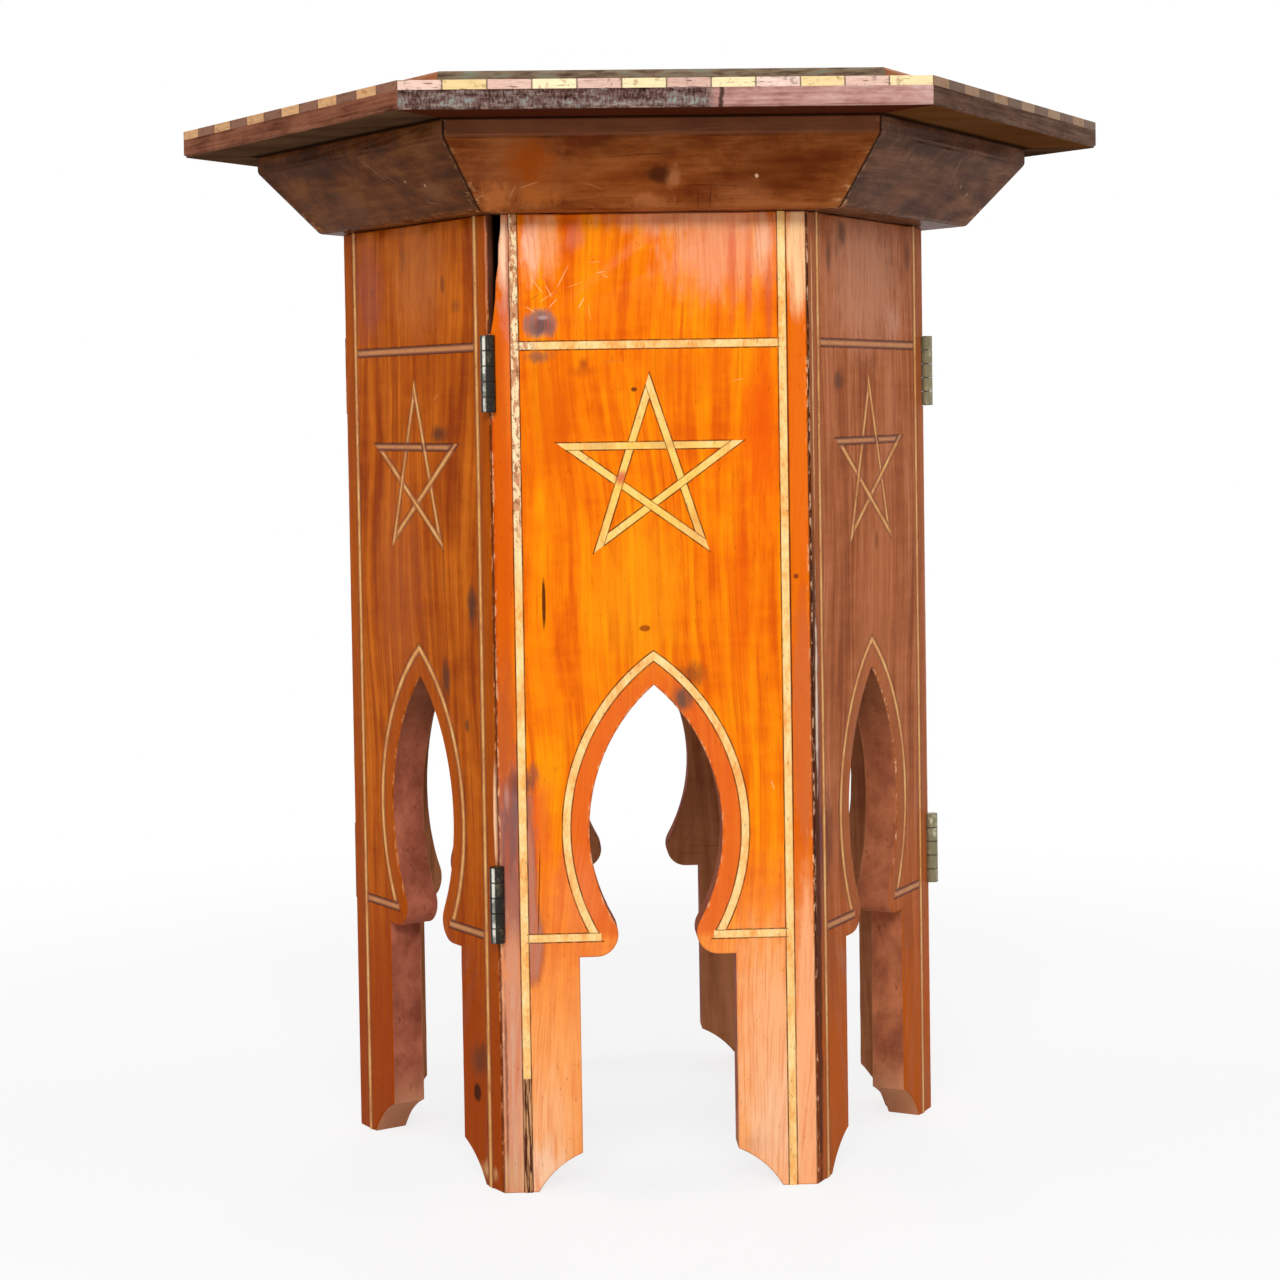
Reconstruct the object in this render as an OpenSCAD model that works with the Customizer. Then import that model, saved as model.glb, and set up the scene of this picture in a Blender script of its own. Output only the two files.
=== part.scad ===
// Folding hexagonal drinks table. Six arched panels are joined in a ring by butt hinges,
// outside and inside by turns, and carry a loose hexagonal top with a canted apron.
// The floor is z = 0, the axis of the hexagon is Z, and the front panel faces -Y.

/* [Base panels] */
// Length of one side of the hexagonal base, from outer corner to outer corner
side = 158; // [150:1:170]
// Height of the panels
panel_h = 487; // [470:1:520]
// Thickness of the panel boards
board_t = 19; // [18:0.5:22]
// Gap between the mitred edges of two neighbouring panels
mitre_gap = 0.4; // [0.3:0.05:0.8]

/* [Legs and arch] */
// Width of a leg
leg_w = 40; // [36:0.5:44]
// Height of the opening between the legs
leg_gap_h = 117.7; // [108:0.1:122]
// Width of a foot where it stands on the floor
foot_w = 17.8; // [14:0.2:22]
// Height at which the hollow under a leg runs out into its side
cove_h = 19.3; // [15:0.1:24]
// Radius of the hollow under a leg
cove_r = 45.9; // [30:0.1:60]
// Clear width of the pointed arch at its widest
arch_w = 66.4; // [60:0.2:70]
// Height of the arch's centres above the floor
arch_z = 180.8; // [172:0.2:190]
// Radius of each side of the pointed arch
arch_r = 95.5; // [88:0.5:105]
// Radius of the rounded lobes, into which the sides of the arch run at its neck
lobe_r = 11; // [8:0.1:14]

/* [Inlay] */
// Width of the light stringing
string_w = 4.1; // [2.5:0.1:5]
// Thickness of the inlaid strips
inlay_t = 1.2; // [0.8:0.1:2]
// Clearance all round a strip or block in its groove
glue_gap = 0.05; // [0.03:0.01:0.1]
// Distance from the corner of a panel to the middle of its upright string
upright_inset = 12.7; // [9:0.1:15]
// Distance from the top of a panel down to the middle of its top string
top_string_drop = 64.8; // [50:0.2:80]
// Height of the lower strings above the opening between the legs
low_string_rise = 10; // [6:0.2:14]
// Distance from the edge of the arch out to the middle of the pointed string
arch_string_out = 11.4; // [8:0.1:14]
// Distance from the top string down to the middle of the star
star_drop = 63.3; // [56:0.1:70]
// Distance from the middle of the star to its points
star_r = 49; // [40:0.1:54]
// Width of the strips of the star
star_w = 3.7; // [2.5:0.1:5]

/* [Hinges] */
// Length of a butt hinge
hinge_l = 38; // [30:0.5:44]
// Width of a hinge leaf from the pin to its far edge
leaf_w = 17; // [15:0.5:19]
// Thickness of a hinge leaf
leaf_t = 1.3; // [1:0.1:1.8]
// Distance from the corner of the wood out to the pin
pin_out = 1.3; // [1:0.1:3]
// Radius of the hinge barrel
knuckle_r = 3.6; // [2.6:0.1:4.2]
// Radius of the hinge pin
pin_r = 1.6; // [1:0.05:2]
// Running clearance between pin and knuckle
pin_fit = 0.05; // [0.02:0.01:0.09]
// Clearance between the barrel and the wood or leaf beside it
barrel_clear = 0.4; // [0.3:0.05:0.8]
// Gap between two knuckles along the pin
knuckle_gap = 0.2; // [0.1:0.05:0.4]
// Distance from the top of a panel down to the middle of its upper hinges
upper_hinge_drop = 78.3; // [60:0.5:100]
// Height of the middle of the lower hinges above the floor
lower_hinge_z = 145.4; // [130:0.5:170]
// Clearance of a leaf in its recess
recess_fit = 0.1; // [0.05:0.05:0.3]

/* [Hinge screws] */
// Length of a screw over its head
screw_l = 10; // [7:0.5:11]
// Radius of a screw shank
screw_r = 1.3; // [0.9:0.05:1.5]
// Radius of a countersunk head
screw_head_r = 2.6; // [2:0.1:3]
// Distance from the pin to the screws
screw_x = 11.5; // [10:0.5:13]
// Distance between the two screws of a leaf
screw_pitch = 22; // [16:0.5:26]
// Clearance round a screw in its hole
screw_fit = 0.05; // [0.02:0.01:0.1]
// Width and depth of the slot in a screw head
slot_w = 0.6; // [0.4:0.05:0.9]

/* [Apron] */
// Gap between the panels and the loose top that stands on them
seat_gap = 0.3; // [0.2:0.05:0.5]
// How far the lower edge of the apron stands out past the panels
apron_out = 15.7; // [10:0.1:20]
// How far the canted face leans out
apron_lean = 28.6; // [20:0.1:34]
// Height of the canted face
apron_rise = 33.4; // [26:0.1:40]
// Height of the upright lip above the canted face
apron_lip = 8.7; // [5:0.1:12]
// Thickness of an apron board, measured level
apron_t = 24; // [20:0.5:28]
// Length of a glue block behind the apron
block_l = 60; // [40:1:80]
// Height and width of a glue block
block_s = 15; // [10:0.5:20]

/* [Top] */
// How far the loose top and its apron lie to the right of the middle of the base
top_shift = 6; // [0:0.5:8]
// How far the top stands out past the apron
top_out = 34.4; // [25:0.2:42]
// Thickness of the top board
top_t = 13.8; // [11:0.1:18]
// Radius of the upright corners of the top board
top_corner_r = 2; // [1:0.1:4]
// Height of the chequer banding on the edge of the top
band_h = 4.5; // [3:0.1:7]
// Width of the chequer banding on the face of the top
band_w = 9; // [6:0.5:14]
// Number of blocks along one side of the top
band_n = 12; // [8:2:16]
// Distance from the edge of the top in to the raised field
field_in = 31; // [24:0.5:40]
// Thickness of the raised field
field_t = 8; // [3:0.1:10]
// Width of the bevel round the raised field
field_bevel = 1.5; // [0.8:0.1:2.5]

/* [Hidden] */
$fn = 64;
PANELS = ["front", "right_front", "right_rear", "rear", "left_rear", "left_front"];
CORNERS = ["front_right", "right", "rear_right", "rear_left", "left", "front_left"];

// Length that runs a cut past a surface
past = 1;
// The sides of a hexagon, the turn from one to the next, and half that turn at a mitre
sides = 6;
step = 360 / sides;
mitre = step / 2;

// The base, seen from above
face_y = side * cos(mitre);
back_y = face_y - board_t;
back_corner = back_y / cos(mitre);
mitre_half = mitre_gap / 2;

// The outline of a panel, seen from the front
leg_x = side / 2 - leg_w;
foot_x = side / 2 - foot_w;
cove_chord = norm([foot_x - leg_x, cove_h]);
cove_sag = sqrt(pow(cove_r, 2) - pow(cove_chord / 2, 2));
cove_x = (foot_x + leg_x) / 2 - cove_sag * cove_h / cove_chord;
cove_z = cove_h / 2 - cove_sag * (foot_x - leg_x) / cove_chord;
arch_x = arch_r - arch_w / 2;
lobe_z = leg_gap_h + lobe_r;
lobe_x = sqrt(pow(arch_r + lobe_r, 2) - pow(arch_z - lobe_z, 2)) - arch_x;
neck_z = arch_z - (arch_z - lobe_z) * arch_r / (arch_r + lobe_r);

// The inlay, seen from the front
upright_x = side / 2 - upright_inset;
top_string_z = panel_h - top_string_drop;
low_string_z = leg_gap_h + low_string_rise;
star_z = top_string_z - star_drop;
arch_string_r = arch_r + arch_string_out;
low_string_x = sqrt(pow(arch_string_r - string_w / 2, 2) - pow(arch_z - low_string_z, 2)) - arch_x;
star_points = 5;
star_turn = 360 / star_points;
star_up = 90;

// The hinges
hinge_zs = [lower_hinge_z, panel_h - upper_hinge_drop];
knuckles = 5;
knuckle_pitch = hinge_l / knuckles;
plate_x = knuckle_r + barrel_clear;

// The loose top, from its lower edge upwards
apron_z = panel_h + seat_gap;
apron_h = apron_rise + apron_lip;
apron_foot = face_y + apron_out;
apron_head = apron_foot + apron_lean;
top_z = apron_z + apron_h + glue_gap;
top_face_z = top_z + top_t;
top_apothem = apron_head + top_out;
top_corner = top_apothem / cos(mitre);
field_z = top_face_z + glue_gap;
field_apothem = top_apothem - field_in;
reach = 2 * top_corner;
bevel_slope = 45;

wood = "#9a4a1e";
edge_wood = "#7c4430";
light_wood = "#e0b873";
dark_wood = "#8a4a3c";
iron = "#6d6152";
brass = "#9c8350";

// True where the barrel of a corner's hinges stands outside the base
function outside(c) = c % 2 == 1;
// Distance from the axis of the table to the pins of a corner
function pin_at(c) = outside(c) ? side + pin_out : back_corner - pin_out;
// The panel before panel k, and the corner between them
function before(k) = (k + sides - 1) % sides;
// A unit step from the axis in the given direction
function direction(a) = [cos(a), sin(a)];
// A regular hexagon with two sides square to Y, by its corner radius
function hexagon(r) = [for (i = [0 : sides - 1]) r * direction(step * i)];

// Turns the front panel's place into the place of panel k
module at_panel(k) rotate([0, 0, step * k]) children();

// Places what belongs to the folding base; the origin is under the middle of the loose top
module in_base() translate([-top_shift, 0, 0]) children();

// The pin of corner c is upright at the origin here, and the wood lies towards +X.
// Panel c is on the -Y side of the mitre, and the next panel is on the +Y side.
module at_pin(c) {
    rotate([0, 0, step * c - step])
        translate([pin_at(c), 0, 0])
            mirror([outside(c) ? 1 : 0, 0, 0]) children();
}

// Repeats a piece at the heights of the lower and upper hinge
module at_hinges() {
    for (z = hinge_zs) translate([0, 0, z]) children();
}

// Repeats a piece at the two screws of a leaf that lies on the +Y side
module at_screws() {
    for (s = [-1, 1])
        translate([screw_x, mitre_half, s * screw_pitch / 2]) rotate([-90, 0, 0]) children();
}

// Sets a flat outline on the outer face of the front panel and gives it a depth inwards
module on_face(depth, proud = 0) {
    translate([0, depth - face_y, 0]) rotate([90, 0, 0]) linear_extrude(depth + proud) children();
}

// One sixth of the plan, from the axis out through the front side
module sector(gap) {
    translate([0, -gap])
        polygon([[0, 0], [reach * tan(mitre), -reach], [-reach * tan(mitre), -reach]]);
}

// The panel seen from above: a board with both ends mitred
module panel_plan() {
    back_off = mitre_half / cos(mitre);
    outer = side / 2 - back_off;
    inner = outer - board_t * tan(mitre);
    polygon([[-outer, -face_y], [outer, -face_y], [inner, -back_y], [-inner, -back_y]]);
}

// The two arcs of a pointed arch of radius r about the arch's centres
module pointed_arch(r) {
    intersection() {
        translate([-arch_x, arch_z]) circle(r);
        translate([arch_x, arch_z]) circle(r);
    }
}

// What is sawn out of a panel: leg gap, hollow feet, lobed neck and pointed arch
module opening_outline() {
    translate([-leg_x, -past]) square([2 * leg_x, leg_gap_h + past]);
    for (s = [-1, 1]) translate([s * cove_x, cove_z]) circle(cove_r);
    difference() {
        union() {
            translate([-lobe_x, leg_gap_h - past]) square([2 * lobe_x, neck_z - leg_gap_h + past]);
            intersection() {
                pointed_arch(arch_r);
                translate([-arch_w / 2, neck_z - past]) square([arch_w, 2 * arch_r]);
            }
        }
        for (s = [-1, 1]) translate([s * lobe_x, lobe_z]) circle(lobe_r);
    }
}

// Uprights, top string and lower strings, each as a bar that is widened by grow
module string_bars(grow) {
    bar = string_w + 2 * grow;
    between = upright_x - string_w / 2 - 2 * glue_gap + grow;
    for (s = [-1, 1]) {
        translate([s * upright_x - bar / 2, -grow]) square([bar, panel_h + 2 * grow]);
        mirror([s < 0 ? 1 : 0, 0])
            translate([low_string_x - grow, low_string_z - bar / 2])
                square([between - low_string_x + grow, bar]);
    }
    translate([-between, top_string_z - bar / 2]) square([2 * between, bar]);
}

// The pointed string round the arch, down to the tops of the lower strings
module string_arch(grow) {
    lower = low_string_z + string_w / 2 + 2 * glue_gap - grow;
    half = string_w / 2 + grow;
    intersection() {
        difference() {
            pointed_arch(arch_string_r + half);
            pointed_arch(arch_string_r - half);
        }
        translate([-arch_string_r, lower]) square(2 * arch_string_r);
    }
}

// A five-pointed star by the radius of its points
module star_outline(r) {
    waist = r * cos(star_turn) / cos(star_turn / 2);
    polygon([for (i = [0 : 2 * star_points - 1])
        let (a = star_up + i * star_turn / 2, q = i % 2 == 0 ? r : waist) q * direction(a)]);
}

// Five crossing strips of the star, each side of them moved out by grow
module star_strips(grow) {
    outer = star_r * cos(star_turn) + grow;
    inner = outer - star_w - 2 * grow;
    tip = inner / cos(star_turn);
    half = (tip - outer) * tan(star_turn / 4);
    translate([0, star_z]) difference() {
        star_outline(outer / cos(star_turn));
        polygon([for (i = [0 : star_points - 1])
            inner / cos(star_turn / 2) * direction(star_up + star_turn * (i + 1 / 2))]);
        for (i = [0 : star_points - 1]) rotate(star_turn * i)
            polygon([[0, tip], [-half, outer], [half, outer]]);
    }
}

// What a pair of hinges takes out of the panel on the +Y side of a mitre
module hinge_recess() {
    half = hinge_l / 2 + recess_fit;
    at_hinges() {
        translate([0, 0, -half]) cylinder(r = knuckle_r + barrel_clear, h = 2 * half);
        translate([0, -past, -half])
            cube([leaf_w + recess_fit, past + mitre_half + leaf_t + recess_fit, 2 * half]);
        at_screws() cylinder(r = screw_r + screw_fit, h = screw_l + screw_fit);
    }
}

// One arched board with its mitres, grooves and hinge recesses
module panel(k) {
    color(wood) in_base() at_panel(k) difference() {
        linear_extrude(panel_h) panel_plan();
        translate([0, past - back_y, 0])
            rotate([90, 0, 0]) linear_extrude(board_t + 2 * past) opening_outline();
        on_face(inlay_t + glue_gap, past) {
            string_bars(glue_gap);
            string_arch(glue_gap);
            star_strips(glue_gap);
        }
        at_panel(-k) at_pin(k) mirror([0, 1, 0]) hinge_recess();
        at_panel(-k) at_pin(before(k)) hinge_recess();
    }
}

// The inlaid star of one panel
module star(k) color(light_wood) in_base() at_panel(k) on_face(inlay_t) star_strips(0);

// The light strings of one panel: uprights, top, lower and pointed
module stringing(k) {
    color(light_wood) in_base() at_panel(k) on_face(inlay_t) {
        string_bars(0);
        string_arch(0);
    }
}

// One hinge leaf on the +Y side, with the knuckles of the given rank
module leaf(ranks) {
    difference() {
        union() {
            translate([plate_x, mitre_half, -hinge_l / 2])
                cube([leaf_w - plate_x, leaf_t, hinge_l]);
            for (i = ranks)
                translate([0, 0, (knuckle_gap - hinge_l) / 2 + i * knuckle_pitch]) {
                    cylinder(r = knuckle_r, h = knuckle_pitch - knuckle_gap);
                    translate([pin_r + leaf_t / 2, mitre_half, 0])
                        cube([plate_x - pin_r, leaf_t, knuckle_pitch - knuckle_gap]);
                }
        }
        translate([0, 0, -hinge_l]) cylinder(r = pin_r + pin_fit, h = 2 * hinge_l);
        at_screws() {
            translate([0, 0, -past]) cylinder(r = screw_r + screw_fit, h = leaf_t + 2 * past);
            cylinder(r1 = screw_head_r + screw_fit, r2 = screw_r + screw_fit, h = leaf_t);
        }
    }
}

// The two leaves with three knuckles of corner c, on panel c
module hinge_leaf_a(c) {
    color(iron) in_base() at_pin(c) mirror([0, 1, 0]) at_hinges() leaf([0 : 2 : knuckles - 1]);
}

// The two leaves with two knuckles of corner c, on the next panel
module hinge_leaf_b(c) color(iron) in_base() at_pin(c) at_hinges() leaf([1 : 2 : knuckles - 1]);

// The two pins of corner c
module hinge_pin(c) {
    color(brass) in_base() at_pin(c) at_hinges()
        translate([0, 0, -hinge_l / 2]) cylinder(r = pin_r, h = hinge_l);
}

// A countersunk screw with a slot, its head at the origin and its point towards +Z
module screw() {
    difference() {
        union() {
            cylinder(r1 = screw_head_r, r2 = screw_r, h = leaf_t);
            cylinder(r = screw_r, h = screw_l - screw_head_r);
            translate([0, 0, screw_l - screw_head_r])
                cylinder(r1 = screw_r, r2 = screw_r / 4, h = screw_head_r);
        }
        translate([-screw_head_r - past, -slot_w / 2, -past])
            cube([2 * (screw_head_r + past), slot_w, past + slot_w]);
    }
}

// The eight screws that hold the leaves of panel k
module hinge_screws(k) {
    color(brass) in_base() {
        at_pin(k) mirror([0, 1, 0]) at_hinges() at_screws() screw();
        at_pin(before(k)) at_hinges() at_screws() screw();
    }
}

// One canted apron board with an upright lip, mitred to its neighbours
module apron(k) {
    color(edge_wood) at_panel(k) intersection() {
        translate([-reach / 2, 0, apron_z]) rotate([90, 0, 90]) linear_extrude(reach)
            polygon([
                [-apron_foot, 0],
                [-apron_head, apron_rise],
                [-apron_head, apron_h],
                [apron_t - apron_head, apron_h],
                [apron_t - apron_foot, 0]
            ]);
        translate([0, 0, apron_z - past]) linear_extrude(apron_h + 2 * past) sector(glue_gap);
    }
}

// Six glue blocks rubbed into the angle behind the apron and under the top
module apron_glue_blocks() {
    slope = apron_lean / apron_h;
    head = apron_t - apron_head + 2 * glue_gap;
    color(edge_wood) for (k = [0 : sides - 1]) at_panel(k)
        translate([-block_l / 2, 0, apron_z + apron_h - glue_gap])
            rotate([90, 0, 90]) linear_extrude(block_l)
                polygon([[head, 0], [head + block_s + slope * block_s, 0],
                    [head + slope * block_s, -block_s]]);
}

// The plan of the top: a hexagon with its upright corners rounded
module top_plan() {
    middle = top_corner - top_corner_r / cos(mitre);
    polygon([for (i = [0 : sides - 1], a = [-mitre, mitre])
        middle * direction(step * i) + top_corner_r * direction(step * i + a)]);
    for (i = [0 : sides - 1]) translate(middle * direction(step * i)) circle(top_corner_r);
}

// The top board with a rebate for the banding
module top_board() {
    color(edge_wood) translate([0, 0, top_z]) difference() {
        linear_extrude(top_t) top_plan();
        translate([0, 0, top_t - band_h]) difference() {
            linear_extrude(band_h + past) polygon(hexagon(top_corner + past));
            translate([0, 0, -past])
                linear_extrude(band_h + 3 * past) polygon(hexagon(top_corner - band_w / cos(mitre)));
        }
    }
}

// Every other block of the banding, from block number first on the front side. The order turns
// round from side to side, so that two blocks of one wood meet at each corner.
module chequer(first) {
    block = top_corner / band_n;
    tuck = band_w * tan(mitre);
    low = tuck - top_corner / 2 + 2 * glue_gap;
    back = band_w - glue_gap - top_apothem;
    translate([0, 0, top_face_z - band_h + glue_gap]) linear_extrude(band_h - glue_gap)
        intersection() {
            top_plan();
            for (k = [0 : sides - 1], i = [(first + k) % 2 : 2 : band_n - 1]) rotate(step * k) {
                from = i * block - top_corner / 2 + glue_gap;
                to = from + block - 2 * glue_gap;
                polygon([[from, -top_apothem], [to, -top_apothem],
                    [min(to, -low), back], [max(from, low), back]]);
            }
        }
}

// The light blocks of the banding
module chequer_light() color(light_wood) chequer(1);

// The dark blocks of the banding
module chequer_dark() color(dark_wood) chequer(0);

// The raised hexagonal field on the top, bevelled all round
module top_field() {
    color(wood) translate([0, 0, field_z]) difference() {
        linear_extrude(field_t) polygon(hexagon(field_apothem / cos(mitre)));
        for (k = [0 : sides - 1]) at_panel(k)
            translate([-reach / 2, -field_apothem, field_t - field_bevel])
                rotate([bevel_slope, 0, 0]) translate([0, -field_t, 0])
                    cube([reach, 2 * field_t, 2 * field_t]);
    }
}

for (k = [0 : sides - 1]) {
    panel(k);
    star(k);
    stringing(k);
    hinge_leaf_a(k);
    hinge_leaf_b(k);
    hinge_pin(k);
    hinge_screws(k);
    apron(k);
}
apron_glue_blocks();
top_board();
chequer_light();
chequer_dark();
top_field();
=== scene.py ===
"""The folding drinks table: its looks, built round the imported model."""

import math

import bmesh
import bpy
from mathutils import Matrix, Vector, noise


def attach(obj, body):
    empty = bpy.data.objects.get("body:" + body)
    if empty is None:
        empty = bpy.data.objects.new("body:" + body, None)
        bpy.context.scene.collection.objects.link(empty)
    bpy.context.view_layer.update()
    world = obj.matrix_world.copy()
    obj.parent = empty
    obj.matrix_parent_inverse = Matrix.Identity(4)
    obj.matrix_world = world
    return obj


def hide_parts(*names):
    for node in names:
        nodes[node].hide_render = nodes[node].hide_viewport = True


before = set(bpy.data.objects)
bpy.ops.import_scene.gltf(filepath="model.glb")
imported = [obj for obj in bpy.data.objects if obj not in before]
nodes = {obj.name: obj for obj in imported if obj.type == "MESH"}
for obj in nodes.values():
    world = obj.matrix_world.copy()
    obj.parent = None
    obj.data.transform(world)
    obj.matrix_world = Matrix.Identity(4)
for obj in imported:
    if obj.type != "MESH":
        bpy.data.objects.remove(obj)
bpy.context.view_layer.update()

# The room. A pale floor runs out to white, and the camera stands about 1.4 m from the middle of the
# table, a little below the height of its top. The lamps are large and soft, and the room is pale.
# The room is measured in metres, and the table in millimetres.

MM = 0.001


class Reading:
    """A value, a colour or a place that a finish reads at each point of a surface."""

    def __init__(self, finish, socket):
        self.finish = finish
        self.socket = socket

    def maths(self, operation, *values):
        """A sum of the shader's own, done on the values in their order."""
        return self.finish.node("ShaderNodeMath", {"operation": operation}, values)

    def __add__(self, other):
        return self.maths("ADD", self, other)

    def __sub__(self, other):
        return self.maths("SUBTRACT", self, other)

    def __rsub__(self, other):
        return self.maths("SUBTRACT", other, self)

    def __mul__(self, other):
        return self.maths("MULTIPLY", self, other)

    def __truediv__(self, other):
        return self.maths("DIVIDE", self, other)

    def __rtruediv__(self, other):
        return self.maths("DIVIDE", other, self)

    __radd__ = __add__
    __rmul__ = __mul__

    def floor(self):
        return self.maths("FLOOR", self)

    def away_from(self, value):
        """How far it is from a value, either way."""
        return self.maths("ABSOLUTE", self - value)

    def least(self, other):
        return self.maths("MINIMUM", self, other)

    def most(self, other):
        return self.maths("MAXIMUM", self, other)

    def fade(self, start, end):
        """0 up to start, 1 from end on, and smooth between them."""
        values = {"Value": self, "From Min": start, "From Max": end}
        return self.finish.node("ShaderNodeMapRange", {"interpolation_type": "SMOOTHSTEP"}, values)


class Finish:
    """The nodes of one surface: its wood, metal, floor or room."""

    def __init__(self, name, holder=None):
        self.holder = holder or bpy.data.materials.new(name)
        self.holder.use_nodes = True
        self.tree = self.holder.node_tree
        self.tree.nodes.clear()

    def node(self, kind, settings=None, values=(), output=0):
        """Adds a node of a kind: its settings first, then the values or links of its sockets."""
        made = self.tree.nodes.new(kind)
        for setting, value in (settings or {}).items():
            if setting == "stops":
                ramp = made.color_ramp.elements
                while len(ramp) < len(value):
                    ramp.new(1)
                for stop, (place, shade) in zip(ramp, value):
                    stop.position = place
                    stop.color = colour(*shade)
            else:
                setattr(made, setting, value)
        pairs = values.items() if isinstance(values, dict) else enumerate(values)
        for socket, value in pairs:
            if isinstance(value, Reading):
                self.tree.links.new(value.socket, made.inputs[socket])
            else:
                made.inputs[socket].default_value = value
        return Reading(self, made.outputs[output] if len(made.outputs) else None)

    def vector(self, operation, *values):
        """A sum done on places or directions, of which two kinds give a plain number."""
        output = 1 if operation in ("LENGTH", "DOT_PRODUCT") else 0
        return self.node("ShaderNodeVectorMath", {"operation": operation}, values, output)

    def mix(self, share, under, over):
        """The colour under, with a share of the colour over laid on it."""
        under, over = (shade if isinstance(shade, Reading) else colour(*shade) for shade in (under, over))
        return self.node("ShaderNodeMix", {"data_type": "RGBA"}, {0: share, 6: under, 7: over}, 2)

    def ramp(self, share, *stops):
        """The colour at a share of the way along a row of colours, each with its place from 0 to 1."""
        return self.node("ShaderNodeValToRGB", {"stops": stops}, (share,))

    def place(self, sideways, upward, inward):
        """A place made of three readings in millimetres."""
        return self.node("ShaderNodeCombineXYZ", {}, (sideways, upward, inward))

    def cloud(self, place, sizes, detail=2.0, roughness=0.5):
        """Soft noise from 0 to 1, with patches of the given sizes in millimetres."""
        scaled = self.vector("DIVIDE", place, sizes)
        values = {"Vector": scaled, "Scale": 1.0, "Detail": detail, "Roughness": roughness}
        return self.node("ShaderNodeTexNoise", {}, values)

    def millimetres(self):
        """The place of each point of the table, in millimetres."""
        return self.vector("DIVIDE", self.node("ShaderNodeTexCoord", {}, (), "Object"), (MM, MM, MM))

    def show(self, shader, kind="ShaderNodeOutputMaterial"):
        """Ends the finish with its shader, and gives back what holds it."""
        self.node(kind, {}, {"Surface": shader})
        return self.holder

    def surface(self, skin, roughness, height, relief=0.9, sheen=0.5, coat=0.0, coat_rough=0.03, metal=0.0):
        """Ends the finish with a colour, a roughness, a height in millimetres and a gloss."""
        normal = self.node("ShaderNodeBump", {}, {"Strength": relief, "Distance": MM, "Height": height})
        values = {
            "Base Color": skin, "Roughness": roughness, "Normal": normal, "Specular IOR Level": sheen,
            "Coat Weight": coat, "Coat Roughness": coat_rough, "Metallic": metal,
        }
        return self.show(self.node("ShaderNodeBsdfPrincipled", {}, values))


def colour(red, green, blue):
    """A colour as the eye reads it, 0 to 255, as the linear light that a finish needs."""
    return (*((part / 255) ** 2.2 for part in (red, green, blue)), 1.0)


WHITE = (1, 1, 1, 1)
ROOM_LIGHT = 0.34
FLOOR_HALF = 6.0
FLOOR_COLOUR = (0.86, 0.86, 0.86, 1)
FLOOR_SHADE = 0.80
SHADOW_NEAR = 0.45
SHADOW_FAR = 0.95


def sees_background(finish):
    """1 for what the camera sees, straight or in metal and glass, and 0 for the light on the table."""
    rays = ["Is Camera Ray", "Is Glossy Ray", "Is Transmission Ray"]
    camera_ray, glossy_ray, clear_ray = (finish.node("ShaderNodeLightPath", output=ray) for ray in rays)
    return camera_ray.most(glossy_ray).most(clear_ray)


def put(thing):
    """Puts a thing in the room."""
    scene.collection.objects.link(thing)


scene = bpy.context.scene
world = bpy.data.worlds.new("room")
scene.world = world
room = Finish("room", world)
dim = room.node("ShaderNodeBackground", {}, {"Color": WHITE, "Strength": ROOM_LIGHT})
bright = room.node("ShaderNodeBackground", {}, {"Color": WHITE, "Strength": 1.0})
seen = room.node("ShaderNodeMixShader", {}, (sees_background(room), dim, bright))
room.show(seen, "ShaderNodeOutputWorld")

floor_mesh = bpy.data.meshes.new("floor")
corners = [(x * FLOOR_HALF, y * FLOOR_HALF, 0) for x, y in ((-1, -1), (1, -1), (1, 1), (-1, 1))]
floor_mesh.from_pydata(corners, [], [(0, 1, 2, 3)])
floor = bpy.data.objects.new("floor", floor_mesh)
put(floor)
pale = Finish("pale_floor")
spot = pale.node("ShaderNodeTexCoord", {}, (), "Object")
from_table = pale.vector("LENGTH", spot)
glow = sees_background(pale) * (FLOOR_SHADE + from_table.fade(SHADOW_NEAR, SHADOW_FAR) * (1 - FLOOR_SHADE))
matt = pale.node("ShaderNodeBsdfDiffuse", {}, {"Color": FLOOR_COLOUR})
lit = pale.node("ShaderNodeEmission", {}, {"Color": WHITE, "Strength": 1.0})
floor_mesh.materials.append(pale.show(pale.node("ShaderNodeMixShader", {}, (glow, matt, lit))))

CAMERA_AT = Vector((-0.0738, -1.4344, 0.3914))
CAMERA_TURN = 0.0479
CAMERA_TILT = -0.0401
CAMERA_ROLL = 0.0156
CAMERA_LENS = 73.83
CAMERA_SHIFT = -0.10

level_right = Vector((math.cos(CAMERA_TURN), -math.sin(CAMERA_TURN), 0))
level_ahead = Vector((math.sin(CAMERA_TURN), math.cos(CAMERA_TURN), 0))
ahead = math.cos(CAMERA_TILT) * level_ahead + math.sin(CAMERA_TILT) * Vector((0, 0, 1))
level_up = level_right.cross(ahead)
camera_right = math.cos(CAMERA_ROLL) * level_right - math.sin(CAMERA_ROLL) * level_up
camera_up = math.cos(CAMERA_ROLL) * level_up + math.sin(CAMERA_ROLL) * level_right
lens = bpy.data.cameras.new("camera")
lens.lens = CAMERA_LENS
lens.sensor_width = 36
lens.shift_y = CAMERA_SHIFT
lens.clip_start = 0.01
camera = bpy.data.objects.new("camera", lens)
turned = Matrix((camera_right, camera_up, -ahead)).transposed().to_4x4()
camera.matrix_world = Matrix.Translation(CAMERA_AT) @ turned
put(camera)
scene.camera = camera
scene.view_settings.view_transform = "Standard"


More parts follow.
